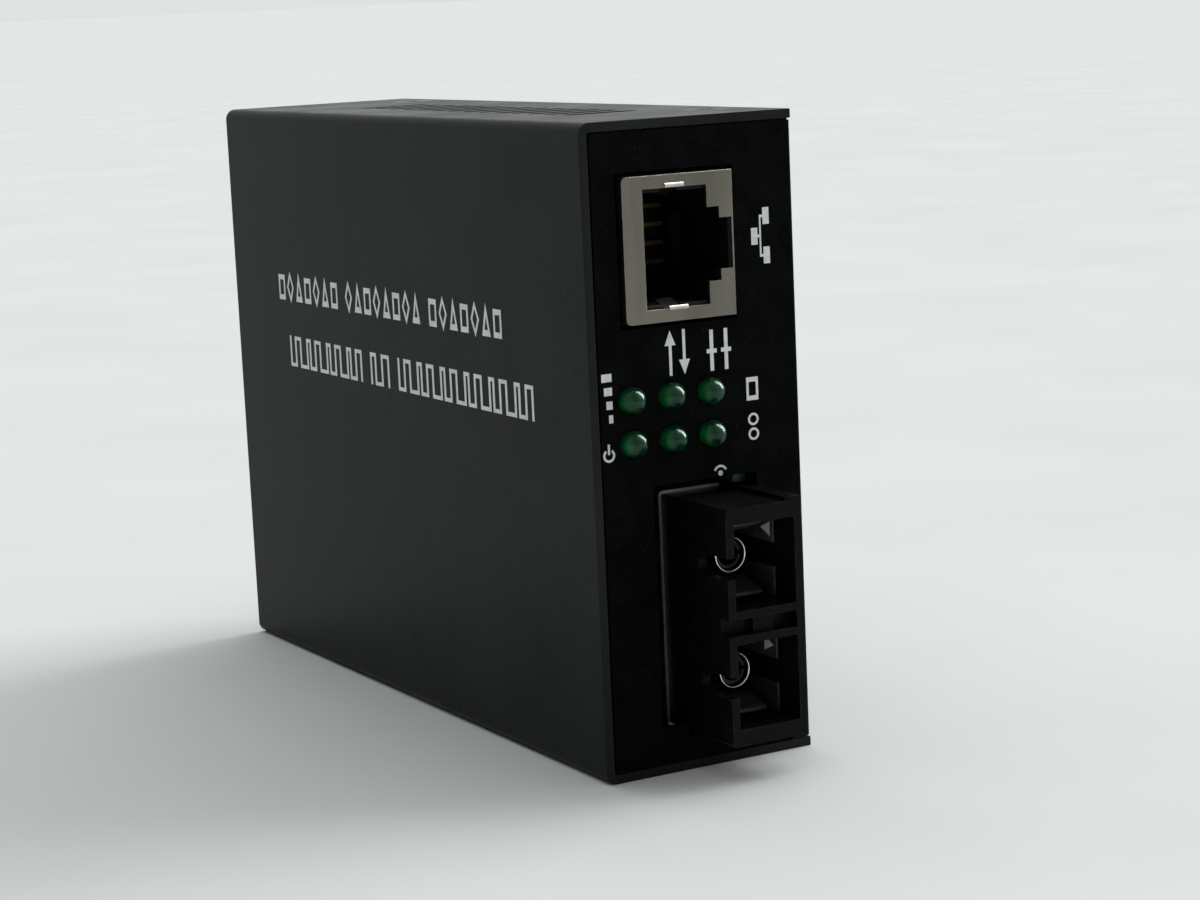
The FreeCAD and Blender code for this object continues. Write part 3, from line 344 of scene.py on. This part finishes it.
def add_piece(name, mesh, finish_name, *replaced):
    """Makes a mesh a piece of the object that rides on its one body."""
    piece = put(name, mesh)
    dress(piece, finish_name)
    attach(piece, "root")
    if replaced:
        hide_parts(*replaced)
    return piece


def box_mm(node):
    """The two corners of a node's box in millimetres."""
    low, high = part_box(node)
    return low / MM, high / MM


def front_of(node):
    """Middle of the front of a node's box in metres, and the box's length in millimetres."""
    low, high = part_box(node)
    return Vector(((low.x + high.x) / 2, low.y, (low.z + high.z) / 2)), (high.y - low.y) / MM


def softened(node, width):
    """The node's own shape with its sharp edges broken by a bevel of width millimetres."""
    mesh = nodes[node].data.copy()
    bm = bmesh.new()
    bm.from_mesh(mesh)
    bmesh.ops.remove_doubles(bm, verts=bm.verts, dist=0.001 * MM)
    bmesh.ops.dissolve_limit(bm, angle_limit=math.radians(1), verts=bm.verts, edges=bm.edges)
    for face in bm.faces:
        face.smooth = True
    bm.to_mesh(mesh)
    bm.free()
    piece = add_piece(node + "_finished", mesh, node_finish[node], node)
    bevel = piece.modifiers.new("edges", "BEVEL")
    bevel.width = width * MM
    bevel.segments = 2
    bevel.limit_method = "ANGLE"
    bevel.angle_limit = math.radians(32)
    flat = piece.modifiers.new("flat faces", "WEIGHTED_NORMAL")
    flat.weight = 100
    flat.keep_sharp = True


def turned(name, profile, start, finish_name, replaced=(), steps=64, closed=False):
    """Piece turned about a line along Y from start. The profile is distances along the line
    and radii, in millimetres; a closed one joins its end to its start."""
    first = ALONG_Y.orthogonal().normalized()
    second = ALONG_Y.cross(first)
    bm = bmesh.new()
    rings = []
    for distance, radius in profile:
        centre = start + ALONG_Y * distance * MM
        if radius == 0:
            rings.append([bm.verts.new(centre)])
            continue
        ring = []
        for i in range(steps):
            angle = 2 * math.pi * i / steps
            spoke = first * math.cos(angle) + second * math.sin(angle)
            ring.append(bm.verts.new(centre + spoke * radius * MM))
        rings.append(ring)
    pairs = list(zip(rings, rings[1:]))
    if closed:
        pairs.append((rings[-1], rings[0]))
    for near, far in pairs:
        for i in range(steps):
            j = (i + 1) % steps
            corners = [near[i % len(near)], near[j % len(near)],
                       far[j % len(far)], far[i % len(far)]]
            bm.faces.new(list(dict.fromkeys(corners)))
    for face in bm.faces:
        face.smooth = True
    mesh = mesh_of(bm, name)
    mesh.set_sharp_from_angle(angle=math.radians(35))
    add_piece(name, mesh, finish_name, *replaced)


def dome(radius, start=0.0):
    """Profile of half a ball, from a small ring near its tip to its full radius."""
    return [(start + radius * (1 - math.sin(math.radians(a))), radius * math.cos(math.radians(a)))
            for a in range(80, -1, -8)]


for node, width in (("cover", 0.10), ("tray", 0.03), ("cover_screws", 0.05),
                    ("rj45_shield", 0.11), ("rj45_housing", 0.08), ("sc_housing", 0.12),
                    ("sc_latch_upper", 0.10), ("sc_latch_lower", 0.10), ("dc_inlet_body", 0.12)):
    softened(node, width)

# LEDs: a lens with a domed tip and a flange at its foot, round a core of denser epoxy with
# painted light on its left
lens_radius, flange_radius, flange_length = 1.5, 1.88, 1.0
core_radius, core_start, core_end = 1.15, 0.45, 3.6
for led in LEDS:
    tip, length = front_of(led)
    foot = length - flange_length
    lens = [(0, 0)] + dome(lens_radius) + [(foot, lens_radius), (foot, flange_radius),
                                           (length, flange_radius), (length, 0)]
    turned(led + "_lens", lens, tip, "led_green", (led,))
    core = [(core_start, 0)] + dome(core_radius, core_start) + [(core_end, core_radius),
                                                                (core_end, 0)]
    turned(led + "_core", core, tip, "led_core", steps=48)

# Barrels: a bright rim with a rounded edge, round a dark liner that paints shade inside the bore
bore, outside, barrel_flange, barrel_flange_length = 1.72, 2.0, 3.2, 1.2
liner_bore, liner_outside = 1.65, 1.715
for port in PORTS:
    start, length = front_of("sc_barrel_" + port)
    foot = length - barrel_flange_length
    rim = [(0.14, bore), (0.07, 1.735), (0.02, 1.78), (0.0, 1.86), (0.02, 1.94), (0.07, 1.985),
           (0.14, outside), (foot, outside), (foot, barrel_flange), (length, barrel_flange),
           (length, bore)]
    turned("sc_barrel_%s_rim" % port, rim, start, "barrel_metal", ("sc_barrel_" + port,),
           closed=True)
    # A black tube inside the bore, there only to paint the shade deep in the port.
    shade_liner = [(0.20, liner_outside), (0.20, 1.69), (0.30, liner_bore), (length, liner_bore),
             (length, liner_outside)]
    turned("sc_barrel_%s_liner" % port, shade_liner, start, "jack_plastic", closed=True)


def make_lip(name, x0, x1, z0, z1, face, proud):
    """Rolled bend that stands proud of a face towards -Y, sizes in millimetres."""
    steps = 8
    bm = bmesh.new()
    rows = []
    for i in range(steps + 1):
        angle = math.pi * i / steps
        z = (z0 + z1) / 2 - math.cos(angle) * (z1 - z0) / 2
        y = face - math.sin(angle) * proud
        rows.append([bm.verts.new(Vector((x, y, z)) * MM) for x in (x0, x1)])
    for near, far in zip(rows, rows[1:]):
        bm.faces.new((near[0], near[1], far[1], far[0]))
    bm.faces.new([row[0] for row in rows])
    bm.faces.new([row[1] for row in rows][::-1])
    bm.faces.new((rows[0][0], rows[-1][0], rows[-1][1], rows[0][1]))
    add_piece(name, mesh_of(bm, name), "nickel_painted_highlight")


# Earthing lips on the jack's face, above and below its opening
shield_low, shield_high = box_mm("rj45_shield")
shield_middle = (shield_low.z + shield_high.z) / 2
lip_left, lip_right, lip_height, lip_proud = shield_low.x + 5.2, shield_low.x + 7.5, 0.5, 0.14
for name, side, reach in (("upper", 1, 6.3), ("lower", -1, 6.02)):
    edge = shield_middle + side * reach
    bottom, top = sorted((edge, edge + side * lip_height))
    make_lip("rj45_lip_" + name, lip_left, lip_right, bottom, top, shield_low.y, lip_proud)


# Print: thin ink in simple shapes, in millimetres
class Ink:
    """Collects flat outlines on one plane and gives them the ink's thickness."""

    def __init__(self, origin, across, up, out):
        self.origin, self.across, self.up, self.out = origin, across, up, out
        self.bm = bmesh.new()

    def outline(self, corners, thickness=0.02):
        lift = self.out * thickness * MM
        base = [self.origin + self.across * u * MM + self.up * v * MM for u, v in corners]
        top = [self.bm.verts.new(p + lift) for p in base]
        low = [self.bm.verts.new(p) for p in base]
        self.bm.faces.new(top)
        self.bm.faces.new(low[::-1])
        for i in range(len(corners)):
            j = (i + 1) % len(corners)
            self.bm.faces.new((top[i], low[i], low[j], top[j]))

    def bar(self, u, v, width, height):
        self.outline([(u, v), (u + width, v), (u + width, v + height), (u, v + height)])

    def ring(self, u, v, radius, stroke, start=0.0, end=360.0, steps=28):
        """Part of a ring, between two angles in degrees, as short quads."""
        for i in range(steps):
            a = math.radians(start + (end - start) * i / steps)
            b = math.radians(start + (end - start) * (i + 1) / steps)
            self.outline([(u + r * math.cos(t), v + r * math.sin(t)) for r, t in
                          ((radius, a), (radius, b), (radius - stroke, b), (radius - stroke, a))])

    def loop(self, corners, share=0.60):
        """Outlined shape: a band between its corners and the same corners nearer its middle."""
        u = sum(c[0] for c in corners) / len(corners)
        v = sum(c[1] for c in corners) / len(corners)
        inner = [(u + (a - u) * share, v + (b - v) * share) for a, b in corners]
        for i in range(len(corners)):
            j = (i + 1) % len(corners)
            self.outline([corners[i], corners[j], inner[j], inner[i]])

    def pulses(self, u, v, height, widths, stroke):
        """A train of square pulses: high and low stretches in turn, joined by upright strokes.
        Returns where it ends."""
        high = True
        for width in widths:
            self.bar(u, v, stroke, height)
            level = v + height - stroke if high else v
            self.bar(u + stroke, level, width - stroke, stroke)
            u += width
            high = not high
        self.bar(u, v, stroke, height)
        return u + stroke

    def piece(self, name, finish_name="print_white"):
        add_piece(name, mesh_of(self.bm, name), finish_name)


cover_low, cover_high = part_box("cover")
cover_ink = Ink(Vector((cover_low.x, cover_low.y, 0)), ALONG_Y, ALONG_Z, -ALONG_X)

# Lower row on the cover: three trains of pulses
pulse_foot, pulse_height, pulse_stroke, train_gap = 37.8, 3.9, 0.46, 2.4
reach = 12.4
for count in (22, 3, 14):
    widths = [0.95 + 0.8 * ((3 * i + count) % 4) / 3 + 0.3 * (i % 2) for i in range(count)]
    reach = cover_ink.pulses(reach, pulse_foot, pulse_height, widths, pulse_stroke) + train_gap

# Upper row on the cover: three groups of diamonds, boxes and triangles in turn. Each shape has
# its corners from the row's foot, and how far from its middle its inner outline lies.
shapes = (([(0, 1.7), (1.0, -0.3), (2.0, 1.7), (1.0, 3.7)], 0.60),
          ([(0, 0), (1.9, 0), (1.9, 3.2), (0, 3.2)], 0.60),
          ([(0, 0), (2.0, 0), (1.0, 3.7)], 0.42))
shape_foot, shape_step, group_gap = 46.2, 2.65, 1.6
reach = 19.0
for count in (7, 8, 7):
    for i in range(count):
        corners, share = shapes[(i + count) % len(shapes)]
        cover_ink.loop([(reach + u, shape_foot + v) for u, v in corners], share)
        reach += shape_step
    reach += group_gap
cover_ink.piece("cover_print")

tray_low, tray_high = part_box("tray")
panel_ink = Ink(Vector((0, tray_low.y, 0)), ALONG_X, ALONG_Z, -ALONG_Y)
board_left = box_mm("board")[0].x
led_boxes = [box_mm(led) for led in LEDS]
led_middles = [(low + high) / 2 for low, high in led_boxes]
top_row, side_row = led_middles[0].z, led_middles[-1].z
left_column, middle_column, right_column = sorted({round(m.x, 3) for m in led_middles})

# Network sign beside the jack: one box joined to two
box_width, box_height, link_width, line, riser = 0.8, 1.8, 0.25, 0.3, 0.2
u, v = board_left + 2.3, shield_middle + 0.3
for across, up in ((0, -0.9), (1.5, 1.2), (1.5, -3.0)):
    panel_ink.bar(u + across, v + up, box_width, box_height)
panel_ink.bar(u + box_width, v - line / 2, link_width, line)
panel_ink.bar(u + box_width + link_width, v - 2.25, riser, 4.5)
for up in (1.95, -2.25):
    panel_ink.bar(u + box_width + link_width + riser, v + up, link_width, line)

# Two arrows over the middle column, one up and one down
foot, shaft, head, shaft_width = top_row + 2.1, 3.2, 1.6, 0.35
u = middle_column + 0.1
panel_ink.bar(u - 0.2, foot, shaft_width, shaft)
panel_ink.outline([(u - 0.7, foot + shaft), (u + 0.65, foot + shaft),
                   (u - 0.025, foot + shaft + head)])
u += 1.7
panel_ink.bar(u - 0.2, foot + head, shaft_width, shaft)
panel_ink.outline([(u - 0.7, foot + head), (u - 0.025, foot), (u + 0.65, foot + head)])

# Two crossed bars over the right column
bar_height, bar_width, arm, arm_up = 4.4, 0.45, 0.4, 1.9
for shift in (0.1, 1.9):
    u = right_column + shift
    panel_ink.bar(u, foot, bar_width, bar_height)
    for side in (-arm, bar_width):
        panel_ink.bar(u + side, foot + arm_up, arm, bar_width)

# Beside the left column: steps of growing speed and the sign for power
step_rise, step_height, round_stroke = 1.45, 0.85, 0.26
u = left_column - 2.2
for step in range(4):
    growth = 0.24 * step
    panel_ink.bar(u - 0.62 - growth, top_row - 2.1 + step_rise * step, 0.5 + growth, step_height)
u, v = u - 0.80, side_row - 0.9
panel_ink.ring(u, v, 0.72, round_stroke, 125, 415)
panel_ink.bar(u - round_stroke / 2, v + 0.1, round_stroke, 1.1)

# Beside the right column: a square for copper and two rings for fibre
left, right = right_column + 4.5, right_column + 6.0
bottom, top = top_row - 1.6, top_row + 0.9
panel_ink.loop([(left, bottom), (right, bottom), (right, top), (left, top)])
for shift in (-0.75, 0.85):
    panel_ink.ring((left + right) / 2, side_row + 0.1 + shift, 0.68, round_stroke)

# Dot and arc under the right column: a signal
u, v = right_column + 0.85, side_row - 4.4
dot, arc = 0.3, 0.9
panel_ink.ring(u, v, dot, dot, steps=20)
panel_ink.ring(u, v, arc, round_stroke, 25, 155, 16)
panel_ink.piece("panel_print")

# Strips in the front panel's darkened paint fill the seams between the cover's two narrow sides
# and the front panel, so that no light shows through them: painted shade over the seams. The
# strips' right front corner is rounded, as the tray's is.
inset, depth, cover_sheet, overlap = 0.2, 0.7, 1.0, 0.02
left, right = tray_low.x / MM + 0.1, tray_high.x / MM - inset
front = tray_low.y / MM + inset
strip = [(left, front), (right - 0.3, front), (right - 0.1, front + 0.06),
         (right, front + 0.25), (right, front + depth), (left, front + depth)]
for name, low, high in (("upper", tray_high.z / MM, cover_high.z / MM - cover_sheet),
                        ("lower", cover_low.z / MM + cover_sheet, tray_low.z / MM)):
    seam = Ink(ALONG_Z * (low - overlap) * MM, ALONG_X, ALONG_Y, ALONG_Z)
    seam.outline(strip, high - low + 2 * overlap)
    seam.piece("seam_" + name, "panel_paint")

# Arrowheads on the ports' upper guide plates: one port takes light in and the other gives it out
guide_plate, near, far = 0.3, 0.5, 2.3
for port, base, point in (("upper", near, far), ("lower", far, near)):
    low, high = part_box("sc_latch_" + port)
    plate_face = Vector((high.x - guide_plate * MM, low.y, (low.z + high.z) / 2))
    port_ink = Ink(plate_face, ALONG_Y, ALONG_Z, -ALONG_X)
    port_ink.outline([(base, 1.9), (base, 3.5), (point, 2.7)])
    port_ink.piece("port_%s_print" % port)


# Stage, light and camera ---------------------------------------------------------------------

def make_floor():
    half = 40.0
    mesh = bpy.data.meshes.new("floor")
    corners = [(-half, -half, 0), (half, -half, 0), (half, half, 0), (-half, half, 0)]
    mesh.from_pydata(corners, [], [(0, 1, 2, 3)])
    paint = finish("floor_paint", (0.72, 0.74, 0.73), 0.9, grain=(2.0, 0.02),
                   mottle=(60.0, 0.02))
    shader = paint.node_tree.nodes["Principled BSDF"]
    shader.inputs["Specular IOR Level"].default_value = 0.0
    mesh.materials.append(paint)
    put("floor", mesh)


def make_world():
    """Two skies. Diffuse rays see one that is strongest behind the object and above it. The
    camera, gloss and glass see the other, which is pale and a little dimmer in front."""
    world = bpy.data.worlds.new("studio")
    bpy.context.scene.world = world
    world.use_nodes = True
    n = Graph(world.node_tree)
    direction = n.add("ShaderNodeTexCoord").outputs["Generated"]
    backwards = n.dot(direction, Vector((0.60, 0.78, 0.10)))
    upwards = n.dot(direction, ALONG_Z)

    behind = n.span(backwards, -0.30, 0.90, 0.03, 0.98, "SMOOTHSTEP")
    above = n.span(upwards, 0.50, 1.0, 0.0, 0.95, "SMOOTHSTEP")
    light = n.calculate("ADD", behind, above)
    pale = n.span(backwards, -0.6, 0.5, 0.45, 0.76, "SMOOTHSTEP")

    path = n.add("ShaderNodeLightPath").outputs
    sees_pale = path["Is Camera Ray"]
    for kind in ("Is Glossy Ray", "Is Transmission Ray"):
        sees_pale = n.calculate("MAXIMUM", sees_pale, path[kind])
    strength = n.add("ShaderNodeMix", data_type="FLOAT")
    for name, source in (("Factor", sees_pale), ("A", light), ("B", pale)):
        n.link(source, strength.inputs[name])
    background = world.node_tree.nodes["Background"]
    background.inputs["Color"].default_value = (0.98, 1.0, 0.995, 1)
    n.link(strength.outputs["Result"], background.inputs["Strength"])


def make_sun(name, towards, spread, strength):
    """A lamp that is as strong on the far floor as on the object, spread in degrees."""
    data = bpy.data.lights.new(name, "SUN")
    data.angle = math.radians(spread)
    data.energy = strength
    put(name, data).rotation_euler = Vector(towards).to_track_quat("Z", "Y").to_euler()


def make_strip(name, towards, along, distance, size, power):
    """A long lamp that gives no diffuse light and reaches only the lenses, the jack and the
    barrels' rims: it draws a crescent on the LEDs' domes."""
    data = bpy.data.lights.new(name, "AREA")
    data.shape = "RECTANGLE"
    data.size, data.size_y = size
    data.energy = power
    lamp = put(name, data)
    lamp.visible_diffuse = False
    lamp.visible_camera = False
    mirrors = bpy.data.collections.new(name + "_mirrors")
    for piece in bpy.context.scene.objects:
        if piece.name.startswith("rj45_") or piece.name.endswith(("_lens", "_rim")):
            mirrors.objects.link(piece)
    lamp.light_linking.receiver_collection = mirrors
    back = Vector(towards).normalized()
    side = Vector(along)
    side = (side - back * side.dot(back)).normalized()
    turn = Matrix((side, back.cross(side), back)).transposed().to_4x4()
    lamp.matrix_world = Matrix.Translation(back * distance) @ turn


def make_camera():
    """Long lens from the front left, a little above the case's top and aimed down at it.
    Heading is from +Y towards +X, and pitch is below the level."""
    data = bpy.data.cameras.new("camera")
    data.sensor_width = 36.0
    data.lens = 83.72
    camera = put("camera", data)
    heading, pitch, roll = (math.radians(a) for a in (29.454, 9.361, -2.590))
    turn = (Matrix.Rotation(-heading, 4, "Z") @ Matrix.Rotation(math.pi / 2 - pitch, 4, "X")
            @ Matrix.Rotation(roll, 4, "Z"))
    camera.matrix_world = Matrix.Translation((-0.15304, -0.29223, 0.08336)) @ turn
    bpy.context.scene.camera = camera


make_floor()
make_world()
make_sun("key", towards=(0.86, -0.06, 0.46), spread=42, strength=2.0)
make_strip("strip", towards=(0.79, -0.26, 0.58), along=(-0.74, -0.15, 0.92), distance=0.7,
           size=(0.84, 0.26), power=8.0)
make_camera()
bpy.context.scene.view_settings.view_transform = "Standard"
